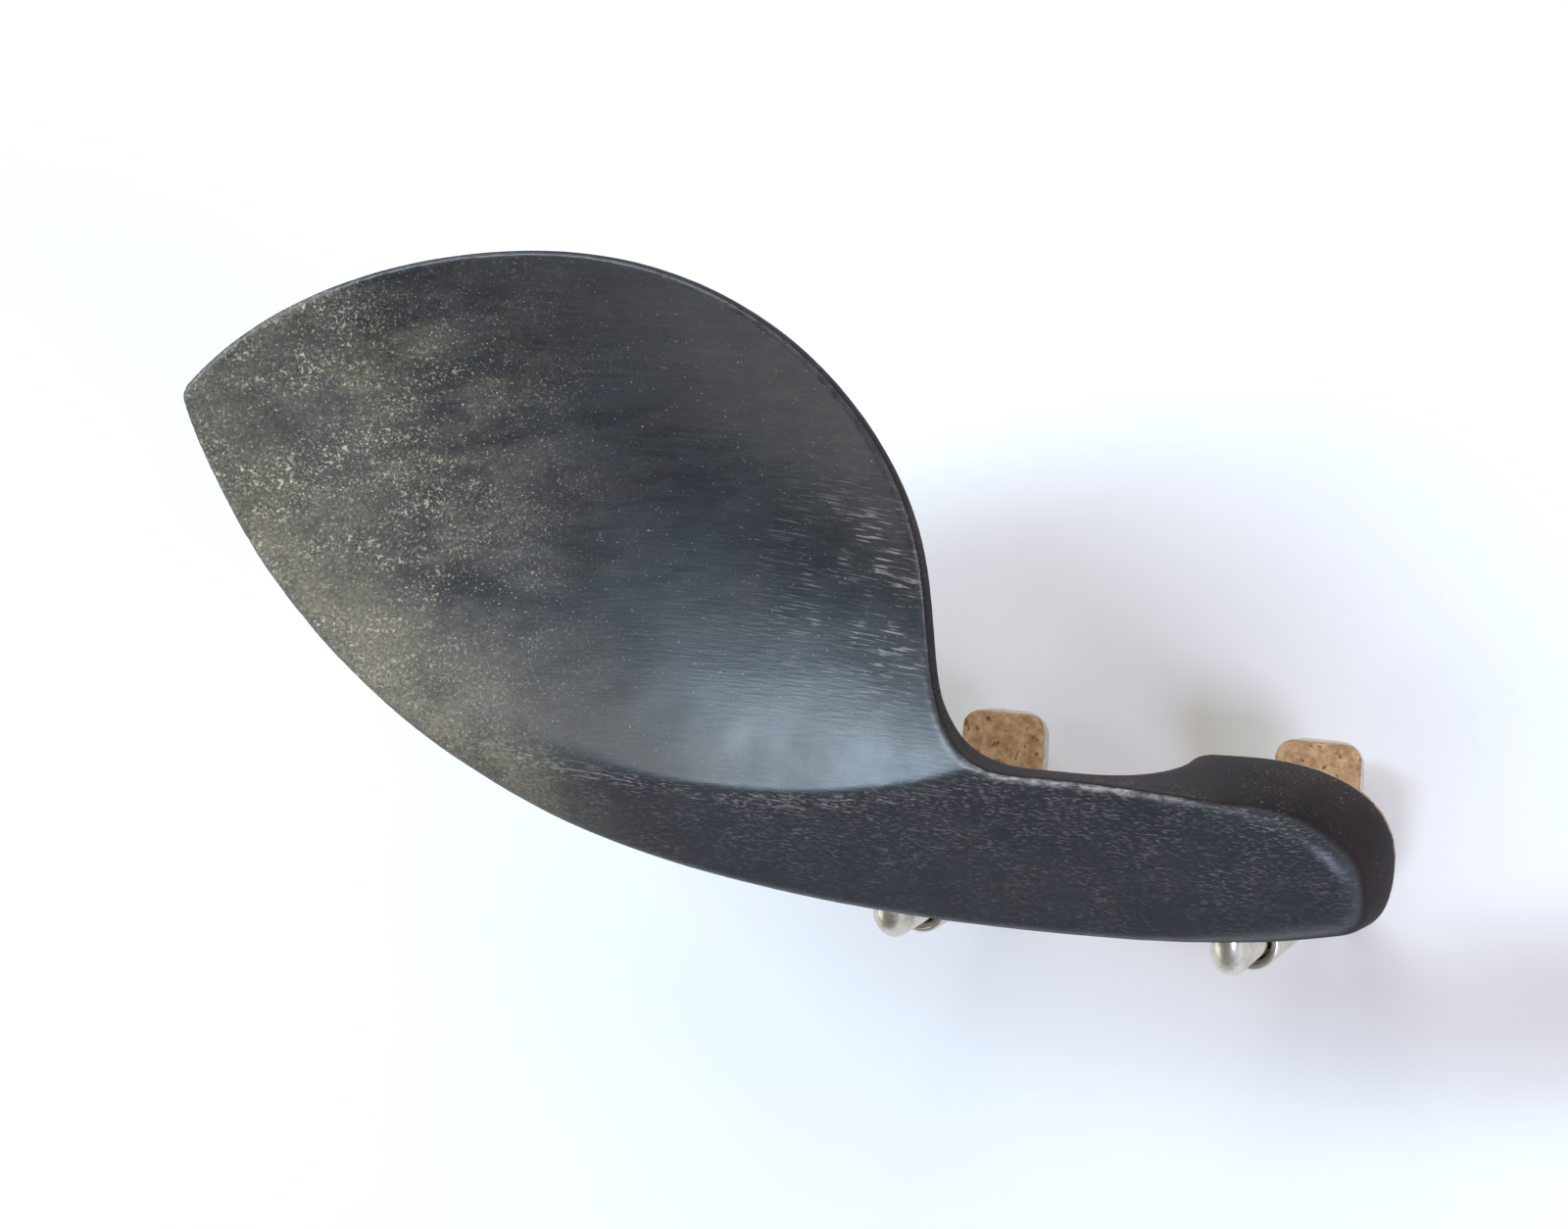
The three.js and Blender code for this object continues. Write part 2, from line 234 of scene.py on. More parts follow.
def relax(obj, rounds, pull=0.5):
    """Averages each vertex with its neighbours, which takes the voxel steps out of the edges."""
    mesh = obj.data
    co = vertex_places(mesh)
    edges = np.empty(len(mesh.edges) * 2, dtype=np.int64)
    mesh.edges.foreach_get("vertices", edges)
    a, b = edges.reshape(-1, 2).T
    count = np.bincount(np.concatenate([a, b]), minlength=len(co))[:, None]
    for _ in range(rounds):
        total = np.empty_like(co)
        for axis in range(3):
            total[:, axis] = np.bincount(a, co[b, axis], len(co)) + np.bincount(b, co[a, axis], len(co))
        co += pull * (total / np.maximum(count, 1) - co)
    mesh.vertices.foreach_set("co", co.ravel())
    mesh.update()


def swell(obj, amount):
    """Moves each vertex along its normal by amount(place), in millimetres."""
    mesh = obj.data
    co = vertex_places(mesh)
    normals = np.empty(len(mesh.vertices) * 3)
    mesh.vertex_normals.foreach_get("vector", normals)
    moves = np.array([amount(Vector(place)) for place in co]) * MM
    co += normals.reshape(-1, 3) * moves[:, None]
    mesh.vertices.foreach_set("co", co.ravel())
    mesh.update()
    return obj


# ---------------------------------------------------------------- the carved plate


def bezier(p0, p1, p2, p3, steps=24):
    """Points along a cubic curve, without its last one."""
    t = np.linspace(0, 1, steps, endpoint=False)[:, None]
    p0, p1, p2, p3 = (np.array(p) for p in (p0, p1, p2, p3))
    return (1 - t) ** 3 * p0 + 3 * (1 - t) ** 2 * t * p1 + 3 * (1 - t) * t * t * p2 + t**3 * p3


def plate_outline():
    """The plan of the plate, from the tip of the dish and back to it."""
    tip = (-93.2, 54.8)
    runs = [
        (tip, (-84.5, 66), (-67, 70.8), (-52.6, 70.8)),  # far rim of the dish
        ((-52.6, 70.8), (-30, 70.8), (-15.2, 56.5), (-12.3, 39.5)),  # rim beside the tailpiece
        ((-12.3, 39.5), (-10.7, 30), (-11.6, 19.2), (0, 19.1)),  # hollow between dish and arm
        ((0, 19.1), (8, 19), (13.4, 20.4), (21.4, 20.4)),  # arm over the tailpiece
        ((21.4, 20.4), (30.6, 20.4), (36.6, 16.8), (36.6, 10.4)),  # end of the right foot
        ((36.6, 10.4), (36.6, 6.8), (35.9, 4), (33.2, 3.2)),
        ((33.2, 3.2), (25, 1.7), (12, 0.9), (0, 0.9)),  # outer edge over the clamps
        ((0, 0.9), (-18, 0.9), (-38.3, 2.9), (-51.8, 9)),  # outer edge past the left foot
        ((-51.8, 9), (-65.3, 15.2), (-87.9, 34), (-93.7, 52.4)),  # outer edge up to the tip
        ((-93.7, 52.4), (-93.95, 53.3), (-93.8, 54.1), tip),
    ]
    return np.concatenate([bezier(*run) for run in runs])


def polygon_distance(px, py, polygon):
    """Signed distance in plan to a closed polygon, negative inside."""
    best = np.full(px.shape, 1e9)
    inside = np.zeros(px.shape, dtype=bool)
    for (ax, ay), (bx, by) in zip(polygon, np.roll(polygon, -1, axis=0)):
        ex, ey = bx - ax, by - ay
        t = np.clip(((px - ax) * ex + (py - ay) * ey) / (ex * ex + ey * ey), 0, 1)
        best = np.minimum(best, (px - ax - t * ex) ** 2 + (py - ay - t * ey) ** 2)
        crosses = (ay > py) != (by > py)
        if ay != by:
            inside ^= crosses & (px < ex * (py - ay) / ey + ax)
    return np.where(inside, -1, 1) * np.sqrt(best)


class PlanField:
    """The plan distance on a fine sheet, read back between its points."""

    def __init__(self):
        xs, ys = (np.arange(low, high, SHEET["step"]) for low, high in zip(SHEET["low"], SHEET["high"]))
        self.sheet = polygon_distance(xs[:, None] + 0 * ys, ys + 0 * xs[:, None], plate_outline())

    def at(self, x, y):
        """The distance at any place, from the four nearest points."""
        fx = np.clip((x - SHEET["low"][0]) / SHEET["step"], 0, self.sheet.shape[0] - 1.001)
        fy = np.clip((y - SHEET["low"][1]) / SHEET["step"], 0, self.sheet.shape[1] - 1.001)
        ix, iy = fx.astype(int), fy.astype(int)
        tx, ty = fx - ix, fy - iy
        s = self.sheet
        near = s[ix, iy] * (1 - ty) + s[ix, iy + 1] * ty
        far = s[ix + 1, iy] * (1 - ty) + s[ix + 1, iy + 1] * ty
        return near * (1 - tx) + far * tx


PLAN = PlanField()


def across_dish(x, y):
    """A place's distances from the dish's middle, along the dish and across it."""
    dx, dy = x - DISH["x"], y - DISH["y"]
    c, s = math.cos(DISH["turn"]), math.sin(DISH["turn"])
    return dx * c + dy * s, dy * c - dx * s


def dish_height(x, y):
    u, v = across_dish(x, y)
    slope = DISH["tilt_u"] * u + DISH["tilt_v"] * v
    return DISH["low"] + slope + DISH["bowl_u"] * u * u + DISH["bowl_v"] * v * v


def face_height(x, y):
    return FACE["edge"] + FACE["slope"] * y - FACE["round"] * y * y + FACE["fall"] * x


def top_height(x, y):
    """The dish meets the sloping outer face in a crease that softens towards the tip."""
    towards_tip = smoothstep(-x, CREASE["from"], CREASE["to"])
    soft = CREASE["sharp"] + (CREASE["soft"] - CREASE["sharp"]) * towards_tip
    lift = soft / 10  # gives back part of what the blend takes off
    return smooth_min(dish_height(x, y), face_height(x, y), soft) + lift


def under_height(x, y):
    """The underside follows the top, and bulges below the dish's middle."""
    u, v = across_dish(x, y)
    middle = np.maximum(0, 1 - (u / DISH["half_u"]) ** 2 - (v / DISH["half_v"]) ** 2)
    level = smooth_min(dish_height(x, y), face_height(x, y), CREASE["under"])
    return level - DISH["rim"] - DISH["belly"] * middle


def steepness(height, voxel):
    """How much longer a slope is than its plan, which turns a height into a distance."""
    gx, gy = np.gradient(height[:, :, 0], voxel)
    return np.sqrt(1 + gx**2 + gy**2)[:, :, None]


def wall_field(x, y, z):
    """Distance to the plate's side wall, which leans in towards the ridge round the right foot."""
    rise = np.clip((z - CORK) / (FOOT_LEAN["ridge"] - CORK), 0, 1)
    lean = rise ** FOOT_LEAN["power"]
    shifted_x = x + FOOT_LEAN["x"] * lean * smoothstep(x, 23, 34) + 0 * y
    shifted_y = y + FOOT_LEAN["y"] * lean * smoothstep(x, 1, 27) * smoothstep(y, 4, 15)
    return PLAN.at(shifted_x, shifted_y) - EDGE_EASE * outer_side(x, y)


def outer_side(x, y):
    """One beside the plate's outer edge, from the right foot to the tip, and nothing elsewhere."""
    depth = 12 + 0.9 * np.maximum(0, -x - 45)
    beside = smoothstep(depth - y, 0, 4)
    return beside * (1 - smoothstep(x, 24, 34)) * smoothstep(x, -92, -84)


def arch_field(x, y, z):
    """The opening between the feet, which rises away from the edge and ends under the arm."""
    level = z - ARCH["rise"] * y
    opening = round_box(x, level, -ARCH["half"], ARCH["half"], -40, ARCH["low"], ARCH["r"])
    return smooth_max(opening, y - ARCH["end"], ARCH["end_edge"])


def seat_field(x, y, z):
    """The recess for a bracket's tang and rod, in both feet at once."""
    dx = np.abs(x) - CLAMP_X
    half = TANG["half"] + FIT
    tang = round_box(dx, y, -half, half, TANG["y0"] - FIT, TANG["y1"] + FIT, SEAT_R)
    tang = np.maximum(tang, z - CORK - TANG["t"] - FIT_ABOVE)
    rod_top = CORK + TANG["t"] / 2
    rod = np.where(z > rod_top, np.hypot(dx, z - rod_top), np.abs(dx)) - ROD_R - FIT
    rod = np.maximum(rod, y - TANG["y0"] - BEND_R)
    return np.minimum(tang, rod)


def left_foot_plan(x, y):
    return round_box(x, y, *(LEFT_FOOT[key] for key in ("x0", "x1", "y0", "y1", "r")))


def plate_field(x, y, z):
    """The plate between its top and underside, with its feet and arm, less the arch and the seats."""
    voxel = x[1, 0, 0] - x[0, 0, 0]
    top = top_height(x, y)
    under = under_height(x, y)
    above = (z - top) / steepness(top, voxel)
    below = (under - z) / steepness(under, voxel)
    foot = left_foot_plan(x, y) - LEFT_FOOT["flare"] * (z - CORK)
    arm = ARM_START - x + 0 * y
    below = smooth_min(smooth_min(below, foot, JOIN["foot"]), arm, JOIN["arm"])
    edge = EASE["rim"] + (EASE["foot"] - EASE["rim"]) * smoothstep(x, 8, 32)
    body = smooth_max(wall_field(x, y, z), above, edge)
    body = smooth_max(body, below, EASE["under"])
    body = smooth_max(body, CORK - z, EASE["cork"])
    body = smooth_max(body, -arch_field(x, y, z), EASE["arch"])
    return np.maximum(body, -seat_field(x, y, z))


def hand_wave(place):
    """The slight waviness of a surface scraped by hand, in waves about 11 and 4 mm long."""
    return 0.05 * noise.noise(place * 90) + 0.025 * noise.noise(place * 230)


def mark(obj, name, values):
    """Stores one number a vertex, for the material to read."""
    obj.data.attributes.new(name, "FLOAT", "POINT").data.foreach_set("value", values.astype(np.float32))


def mark_wear(obj):
    """Where the plate's top is worn, dusty or open-grained, and where its outer face is, which takes a
    painted sheen. The ranges are in millimetres.
    """
    x, y, z = (vertex_places(obj.data) / MM - PLAN_ORIGIN).T
    wall = np.abs(wall_field(x, y, z))
    dish, face = dish_height(x, y), face_height(x, y)
    height = np.minimum(dish, face)
    top = smoothstep(z - height, -2.5, -1.0)
    mark(obj, "outer_face", top * smoothstep(dish - face, -1.0, 1.2))
    mark(obj, "edge", smoothstep(-wall - np.abs(z - height), -1.1, -0.4))
    mark(obj, "ridge", smoothstep(x, -9, 0) * smoothstep(-x, -30, -20) * smoothstep(y, 14, 16))
    far_rim = smoothstep(y, 56, 68) * smoothstep(x, -84, -70)
    mark(obj, "tip_dust", top * smoothstep(-x, 40, 86) * (1 - 0.65 * far_rim))
    across = across_dish(x, y)[1]
    skirt = smoothstep(-across, 4, 18) * smoothstep(-wall, -14, -2) * smoothstep(-x, 42, 62)
    mark(obj, "skirt_dust", top * skirt)
    mark(obj, "crease", top * smoothstep(-np.abs(dish - face - 0.7), -1.4, -0.1) * smoothstep(-x, -6, 20))
    right_side = smoothstep(x - 0.15 * y, -42, -22) * smoothstep(-y, -52, -40) * smoothstep(y, 20, 32)
    mark(obj, "open_grain", top * right_side)


def chin_plate():
    voxel = VOXEL["plate"]
    obj = mesh_from_field("ebony_plate", *PLATE_BOX, voxel, plate_field, smooth=4)
    swell(obj, hand_wave)
    mark_wear(obj)
    return obj


# ---------------------------------------------------------------- cork


def cork_pad(name, side):
    """Sheet cork under a foot, cut to the foot's plan and open round the bracket."""
    slot_half = TANG["half"] + SLOT_FIT
    arch_edge = ARCH["half"] + ARCH_INSET

    def field(x, y, z):
        plan = PLAN.at(x + 0 * y, y + 0 * x) + PAD_INSET
        if side < 0:
            plan = np.maximum(np.maximum(plan, left_foot_plan(x, y) + PAD_INSET), x + arch_edge)
        else:
            plan = np.maximum(plan, arch_edge - x)
        slot = np.maximum(np.abs(x - side * CLAMP_X) - slot_half, y - TANG["y1"] - SLOT_FIT)
        return slab(np.maximum(plan, -slot), z, CORK_GAP, CORK - CORK_GAP, CORK_EDGE)

    return swell(mesh_from_field(name, *PAD_BOX[side], VOXEL["pad"], field, smooth=1), cork_grain)


def lower_cork(name, side):
    """The cork on a hook's sole, which presses on the violin's back."""
    half, y0, y1 = SOLE["half"], SOLE["y0"] + BEND_R, SOLE["y1"]
    x0 = side * CLAMP_X

    def field(x, y, z):
        plan = round_box(x, y, x0 - half, x0 + half, y0, y1, HOOK_CORK_R)
        return slab(plan, z, BACK_Z - CORK + CORK_GAP, BACK_Z - CORK_GAP, CORK_EDGE)

    low = (x0 - half - 1, y0 - 1, BACK_Z - CORK - 0.6)
    high = (x0 + half + 1, y1 + 1, BACK_Z + 0.6)
    return swell(mesh_from_field(name, low, high, VOXEL["hook_cork"], field, smooth=1), cork_grain)


def cork_grain(place):
    """Cork's broken grains, under 1 mm across, and the shallow pits between clumps of them."""
    return 0.07 * (noise.noise(place * 1400) - 0.8 * max(0, noise.noise(place * 500)))


# ---------------------------------------------------------------- clamps


def thread_radius(x, y, z, start, handed):
    """The radius of a threaded rod: a rounded V that winds one pitch a turn, and deepens from start."""
    turn = np.arctan2(y, x) / (2 * math.pi)
    phase = (z / THREAD["pitch"] - handed * turn) % 1
    valley = np.abs(phase - 0.5) * 2
    run_in = smoothstep(np.abs(z - start), 0, THREAD["run_in"])
    return ROD_R - THREAD["depth"] * run_in * valley ** THREAD["sharp"]


def rod_field(x, y, z, y_in, z_level, z_end, way, thread_start, handed):
    """A level run, an elbow and a threaded upright, which goes up where way is 1 and down where it is -1."""
    bend_y, bend_z = POST_Y + BEND_R, z_level + way * BEND_R
    past_bend = way * (z - bend_z)
    level = np.maximum(np.hypot(x, z - z_level) - ROD_R, np.maximum(bend_y - y, y - y_in))
    ring = np.hypot(y - bend_y, z - bend_z) - BEND_R
    elbow = np.maximum(np.hypot(ring, x) - ROD_R, np.maximum(y - bend_y, past_bend))
    py = y - POST_Y
    threaded = way * (z - thread_start) > 0
    radius = np.where(threaded, thread_radius(x, py, z, thread_start, handed), ROD_R)
    upright = np.hypot(x, py) - radius
    upright = smooth_max(upright, way * (z - z_end), ROD_END)
    upright = np.maximum(upright, -past_bend)
    return np.minimum(np.minimum(level, elbow), upright)


def countersink(x, y, z, centre_y):
    """The hole for a wood screw, which opens in a cone at the cork side."""
    return np.hypot(x, y - centre_y) - (SINK["cone_r"] - np.clip(z - CORK, 0, SINK["cone_t"]))


def upper_bracket(name, side):
    """A right-hand threaded rod bent over the violin's edge into a tang with two screw holes."""
    x0 = side * CLAMP_X
    z_level = CORK + TANG["t"] / 2

    def field(x, y, z):
        dx = x - x0
        rod = rod_field(dx, y, z, TANG["y0"] + BEND_R, z_level, BRACKET_LOW[2], -1, THREAD_TOP, 1)
        plan = round_box(dx, y, -TANG["half"], TANG["half"], TANG["y0"], TANG["y1"], TANG["r"])
        tang = slab(plan, z, CORK, CORK + TANG["t"], TANG["edge"])
        shape = smooth_min(rod, tang, TANG["weld"])
        outside = FREE * smoothstep(-y, -TANG["y0"] - TANG["trim"], -TANG["y0"])
        shape = np.maximum(shape, CORK - z - outside)
        for centre_y in SCREW["y"]:
            shape = smooth_max(shape, -countersink(dx, y, z, centre_y), SINK["edge"])
        return shape

    low = (x0 - TANG["half"] - MARGIN, POST_Y - ROD_R - MARGIN, BRACKET_LOW[2] - MARGIN)
    high = (x0 + TANG["half"] + MARGIN, TANG["y1"] + MARGIN, z_level + ROD_R + MARGIN)
    return mesh_from_field(name, low, high, VOXEL["rods"], field)


def lower_hook(name, side):
    """A left-hand threaded rod bent under the violin's edge and flattened into a sole."""
    x0 = side * CLAMP_X
    top = BACK_Z - CORK
    z_level = top - SOLE["t"] / 2
    thread_low = z_level + BEND_R + HOOK_PLAIN
    y_in = SOLE["y0"] + BEND_R - SOLE_SHORT

    def field(x, y, z):
        dx = x - x0
        rod = rod_field(dx, y, z, y_in, z_level, HOOK_HIGH[2], 1, thread_low, -1)
        plan = round_box(dx, y, -SOLE["half"], SOLE["half"], SOLE["y0"], SOLE["y1"], SOLE["r"])
        sole = slab(plan, z, top - SOLE["t"], top, SOLE["edge"])
        shape = smooth_min(rod, sole, SOLE["weld"])
        outside = FREE * smoothstep(-y, -SOLE["y0"] - SOLE["trim"], -SOLE["y0"])
        return np.maximum(shape, z - top - outside)

    low = (x0 - SOLE["half"] - MARGIN, POST_Y - ROD_R - MARGIN, HOOK_LOW[2] - MARGIN - 0.1)
    high = (x0 + SOLE["half"] + MARGIN, SOLE["y1"] + MARGIN, HOOK_HIGH[2] + MARGIN)
    return mesh_from_field(name, low, high, VOXEL["rods"], field)


def barrel(name, side):
    """A turned tube with rounded ends, a line cut near each end and two cross holes for the key."""
    x0 = side * CLAMP_X
    radius = (BARREL_HIGH[0] - BARREL_LOW[0]) / 2
    z0, z1 = BARREL_LOW[2], BARREL_HIGH[2]
    middle = (z0 + z1) / 2

    def field(x, y, z):
        dx, dy = x - x0, y - POST_Y
        r = np.hypot(dx, dy)
        tube = slab(r - radius, z, z0, z1, BARREL["edge"])
        for line in (z0 + BARREL["line_in"], z1 - BARREL["line_in"]):
            tube = np.maximum(tube, BARREL["line_r"] - np.hypot(r - radius, z - line))
        bore = r - ROD_R - BARREL["bore_gap"]
        mouth = r - ROD_R - BARREL["edge"] + np.minimum(np.abs(z - z0), np.abs(z - z1))
        tube = np.maximum(tube, -np.minimum(bore, mouth))
        along_y = np.hypot(dx, z - middle - BARREL["key_z"]) - BARREL["key_r"]
        along_x = np.hypot(dy, z - middle + BARREL["key_z"]) - BARREL["key_r"]
        return smooth_max(tube, -np.minimum(along_x, along_y), BARREL["key_edge"])

    reach = radius + MARGIN
    low = (x0 - reach, POST_Y - reach, z0 - MARGIN)
    high = (x0 + reach, POST_Y + reach, z1 + MARGIN)
    return mesh_from_field(name, low, high, VOXEL["barrel"], field)


def wood_screw(name, side, centre_y):
    """A countersunk screw with a slotted, slightly domed head and a tapping thread."""
    x0 = side * CLAMP_X
    turn = noise.noise(Vector((x0, centre_y, 0.5))) * 3  # the turn at which its slot came to rest

    def field(x, y, z):
        dx, dy, rise = x - x0, y - centre_y, z - CORK
        r = np.hypot(dx, dy)
        head = r - (SCREW["head_r"] - np.clip(rise, 0, SCREW["head_t"] - 0.1))
        head = np.maximum(head, np.abs(rise - SCREW["head_t"] / 2) - SCREW["head_t"] / 2)
        dome_z = SCREW["dome_r"] - SCREW["dome_h"]
        dome = np.maximum(r - SCREW["head_r"] + 0.1, np.hypot(r, rise - dome_z) - SCREW["dome_r"])
        dome = np.maximum(dome, rise - 0.1)
        winding = np.abs((rise / SCREW["pitch"] - np.arctan2(dy, dx) / (2 * math.pi)) % 1 - 0.5)
        shank = r - SCREW["core_r"] - SCREW["thread"] * (1 - 2 * winding) ** 2
        shank = np.maximum(shank, np.abs(rise - SCREW["length"] / 2) - SCREW["length"] / 2)
        slot = np.abs(dx * math.cos(turn) + dy * math.sin(turn)) - SCREW["slot_half"]
        slot = np.maximum(slot, rise - SCREW["slot_depth"])
        return np.maximum(np.minimum(np.minimum(head, dome), shank), -slot)

    reach = SCREW["head_r"] + MARGIN
    low = (x0 - reach, centre_y - reach, CORK - MARGIN - 0.1)
    high = (x0 + reach, centre_y + reach, CORK + SCREW["length"] + MARGIN + 0.1)
    return mesh_from_field(name, low, high, VOXEL["screw"], field, smooth=1)


# ---------------------------------------------------------------- materials


class Nodes:
    """Short forms for building a node material."""

    def __init__(self, name):
        self.material = bpy.data.materials.new(name)
        self.material.use_nodes = True
        self.tree = self.material.node_tree
        self.shader = self.tree.nodes["Principled BSDF"]
        self.place = self.add("ShaderNodeTexCoord").outputs["Object"]

    def add(self, kind, **settings):
        node = self.tree.nodes.new(kind)
        for key, value in settings.items():
            setattr(node, key, value)
        return node

    def link(self, source, target):
        if isinstance(source, (int, float)):
            target.default_value = source
        elif isinstance(source, tuple):
            target.default_value = source if len(source) == len(target.default_value) else (*source, 1.0)
        else:
            self.tree.links.new(source, target)

    def stretched(self, scale, turn=0.0):
        """The place turned about Z, then scaled along each axis."""
        turned = self.add("ShaderNodeVectorRotate", rotation_type="Z_AXIS")
        turned.inputs["Angle"].default_value = -turn
        self.link(self.place, turned.inputs["Vector"])
        node = self.add("ShaderNodeVectorMath", operation="MULTIPLY")
        node.inputs[1].default_value = scale
        self.link(turned.outputs["Vector"], node.inputs[0])
        return node.outputs["Vector"]

    def noise(self, scale, detail=4.0, rough=0.55, place=None, distortion=0.0):
        node = self.add("ShaderNodeTexNoise")
        node.inputs["Scale"].default_value = scale
        node.inputs["Detail"].default_value = detail
        node.inputs["Roughness"].default_value = rough
        node.inputs["Distortion"].default_value = distortion
        self.link(place or self.place, node.inputs["Vector"])
        return node.outputs["Fac"]

    def cells(self, scale):
        node = self.add("ShaderNodeTexVoronoi")
        node.inputs["Scale"].default_value = scale
        self.link(self.place, node.inputs["Vector"])
        return node.outputs["Distance"]

    def ramp(self, value, low, high, out_low=0.0, out_high=1.0):
        """Takes the range from low to high to another range, held level outside it."""
        node = self.add("ShaderNodeMapRange", interpolation_type="SMOOTHSTEP")
        self.link(value, node.inputs["Value"])
        node.inputs["From Min"].default_value = low
        node.inputs["From Max"].default_value = high
        node.inputs["To Min"].default_value = out_low
        node.inputs["To Max"].default_value = out_high
        return node.outputs["Result"]

    def math(self, operation, a, b):
        node = self.add("ShaderNodeMath", operation=operation)
        self.link(a, node.inputs[0])
        self.link(b, node.inputs[1])
        return node.outputs[0]

    def mix(self, factor, a, b):
        node = self.add("ShaderNodeMix", data_type="RGBA")
        self.link(factor, node.inputs[0])
        self.link(a, node.inputs[6])
        self.link(b, node.inputs[7])
        return node.outputs[2]

    def marked(self, name):
        """A number that mark() stored on the mesh."""
        return self.add("ShaderNodeAttribute", attribute_name=name).outputs["Fac"]

    def split(self, vector):
        node = self.add("ShaderNodeSeparateXYZ")
        self.link(vector, node.inputs[0])
        return node.outputs

    def bump(self, height, strength, distance, after=None):
        node = self.add("ShaderNodeBump")
        node.inputs["Strength"].default_value = strength
        node.inputs["Distance"].default_value = distance
        self.link(height, node.inputs["Height"])
        if after is not None:
            self.link(after, node.inputs["Normal"])
        return node.outputs["Normal"]

    def set(self, **inputs):
        for name, value in inputs.items():
            self.link(value, self.shader.inputs[name.replace("_", " ")])


# How the wood's grain, its dark streaks and the dust run, turned from the X axis.
GRAIN_TURN = math.radians(-4)
STREAK_TURN = math.radians(12)
DUST_TURN = math.radians(10)

COLOURS = {
    "ebony": (0.0085, 0.0105, 0.0130),
    "ebony_cloud": (0.021, 0.0245, 0.0275),
    "ebony_warm": (0.027, 0.021, 0.020),
    "ebony_streak": (0.006, 0.0075, 0.0105),
    "ebony_grain": (0.042, 0.043, 0.046),
    # Painted sheen: the lighter, bluer colour of the sloping outer face.
    "face_painted_sheen": (0.024, 0.027, 0.033),
    # Painted reflection: the browner, darker colours of the walls and underside stand in for a red violin top
    # reflected in them.
    "side_painted_reflection": (0.0065, 0.0030, 0.0028),
    "side_painted_reflection_cloud": (0.018, 0.0088, 0.0080),
    "pore": (0.21, 0.195, 0.18),
    "scuff": (0.27, 0.24, 0.225),
    "powder": (0.190, 0.166, 0.110),
    "fleck": (0.55, 0.49, 0.33),
    "worn_edge": (0.105, 0.100, 0.096),
    "ridge_dust": (0.36, 0.33, 0.28),
    "lint": (0.20, 0.155, 0.13),
    "cork_dark": (0.30, 0.17, 0.075),
    "cork_pale": (0.58, 0.37, 0.19),
    "cork_pit": (0.10, 0.045, 0.02),
    "nickel_dull": (0.56, 0.52, 0.42),
    "nickel": (0.70, 0.665, 0.58),
    "nickel_stain": (0.34, 0.29, 0.21),
    "steel_dull": (0.42, 0.40, 0.36),
    "steel": (0.58, 0.56, 0.52),
    "paper_low": (0.80, 0.79, 0.77),
    "paper_high": (0.83, 0.82, 0.80),
}


def dashes(m, length, width, low, high):
    """Short streaks along the grain, of about this length and width in millimetres."""
    scale = (1 / (length * MM), 1 / (width * MM), 0.12 / (width * MM))
    return m.ramp(m.noise(1, 1, 0.4, m.stretched(scale, GRAIN_TURN)), low, high)


def specks(m, size, low, high):
    """Round grains of about this size in millimetres."""
    return m.ramp(m.noise(1 / (size * MM), 2, 0.5), low, high)


def ebony_colour(m):
    """Near-black wood with clouds, streaks and fine grain, and a painted sheen that makes the outer face
    lighter and bluer. Also gives how open its pores and scuffs are.
    """
    clouds = m.noise(42, 6, 0.62)
    colour = m.mix(m.ramp(clouds, 0.3, 0.7), COLOURS["ebony"], COLOURS["ebony_cloud"])
    warm = m.ramp(m.noise(75, 5, 0.65), 0.48, 0.68, 0.0, 0.6)
    colour = m.mix(warm, colour, COLOURS["ebony_warm"])
    streaks = m.noise(1, 5, 0.6, m.stretched((95, 430, 80), STREAK_TURN), 0.8)
    colour = m.mix(m.ramp(streaks, 0.42, 0.62, 0.0, 0.5), colour, COLOURS["ebony_streak"])
    face = m.marked("outer_face")
    grain = m.noise(1, 3, 0.6, m.stretched((160, 1900, 300)))
    colour = m.mix(m.math("MULTIPLY", m.ramp(grain, 0.45, 0.75), 0.3), colour, COLOURS["ebony_grain"])
    pores = dashes(m, 0.75, 0.14, 0.54, 0.68)
    patchy = m.ramp(m.noise(210, 4, 0.65), 0.36, 0.62, 0.2, 1.0)
    high = m.ramp(m.split(m.place)[1], -0.011, 0.009, 0.3, 1.0)
    pores = m.math("MULTIPLY", m.math("MULTIPLY", pores, patchy), high)
    crease = m.marked("crease")
    depth = m.math("ADD", m.math("MULTIPLY", face, 0.55), m.math("MULTIPLY", crease, 0.8))
    pores = m.math("MULTIPLY", pores, m.math("ADD", depth, 0.06))
    # Painted sheen: the outer face is painted lighter and bluer, as if lit.
    colour = m.mix(m.math("MULTIPLY", face, 0.4), colour, COLOURS["face_painted_sheen"])
    colour = m.mix(pores, colour, COLOURS["pore"])
    scuffs = dashes(m, 3.0, 0.19, 0.56, 0.66)
    scuffs = m.math("MULTIPLY", scuffs, m.ramp(m.noise(230, 3, 0.6), 0.40, 0.60))
    scuffed = m.math("MAXIMUM", m.marked("open_grain"), m.math("MULTIPLY", crease, 0.8))
    scuffs = m.math("MULTIPLY", scuffs, m.math("MULTIPLY", scuffed, 0.75))
    colour = m.mix(scuffs, colour, COLOURS["scuff"])
    return colour, m.math("MAXIMUM", pores, scuffs)


